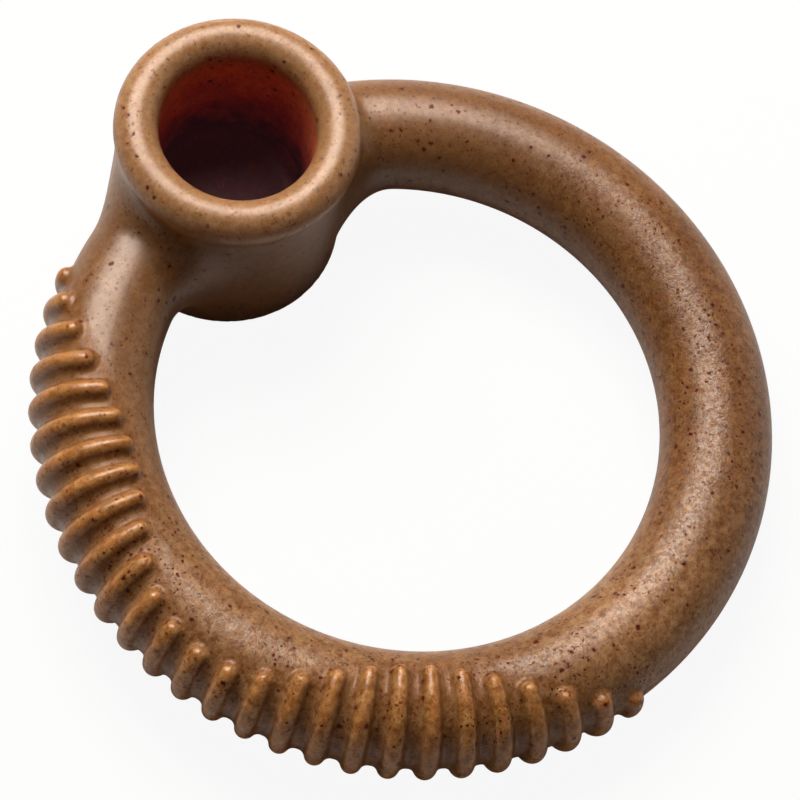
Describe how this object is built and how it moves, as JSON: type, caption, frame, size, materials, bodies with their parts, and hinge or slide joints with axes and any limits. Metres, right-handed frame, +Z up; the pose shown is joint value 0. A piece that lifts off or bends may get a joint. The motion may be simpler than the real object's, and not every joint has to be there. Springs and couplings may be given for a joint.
{
  "type": "nylon chew ring",
  "caption": "Dog chew ring moulded in nylon: a round tube bent into a ring, with a blind treat cup through it and rows of ribs round its outer side.",
  "frame": {"origin": "on the floor, under the centre of the bounding box of the ring as it lies at rest", "axes": "+Z up from the floor; +Y from the ring's middle towards the treat cup; the ribs are on the -X side. The ring's mid-plane leans 3.8 degrees, down away from the cup, because it rests on the inner edge of the cup's base and on its far side"},
  "size_m": [0.1294, 0.1412, 0.0408],
  "materials": {
    "nylon": "satin injection-moulded nylon, tan-brown with dark specks, slightly translucent",
    "rib_nylon": "the same satin nylon where it is thin, more amber"
  },
  "bodies": {
    "root": {"ring_body": "nylon", "treat_cup": "nylon", "cup_rim": "nylon", "chew_rib_01": "rib_nylon", "chew_rib_02": "rib_nylon", "chew_rib_03": "rib_nylon", "chew_rib_04": "rib_nylon", "chew_rib_05": "rib_nylon", "chew_rib_06": "rib_nylon", "chew_rib_07": "rib_nylon", "chew_rib_08": "rib_nylon", "chew_rib_09": "rib_nylon", "chew_rib_10": "rib_nylon", "chew_rib_11": "rib_nylon", "chew_rib_12": "rib_nylon", "chew_rib_13": "rib_nylon", "chew_rib_14": "rib_nylon", "chew_rib_15": "rib_nylon", "chew_rib_16": "rib_nylon", "chew_rib_17": "rib_nylon", "chew_rib_18": "rib_nylon", "chew_rib_19": "rib_nylon", "chew_rib_20": "rib_nylon", "chew_rib_21": "rib_nylon", "chew_rib_22": "rib_nylon", "chew_rib_23": "rib_nylon", "chew_rib_24": "rib_nylon", "chew_rib_25": "rib_nylon", "chew_rib_26": "rib_nylon", "chew_rib_27": "rib_nylon"}
  },
  "joints": []
}
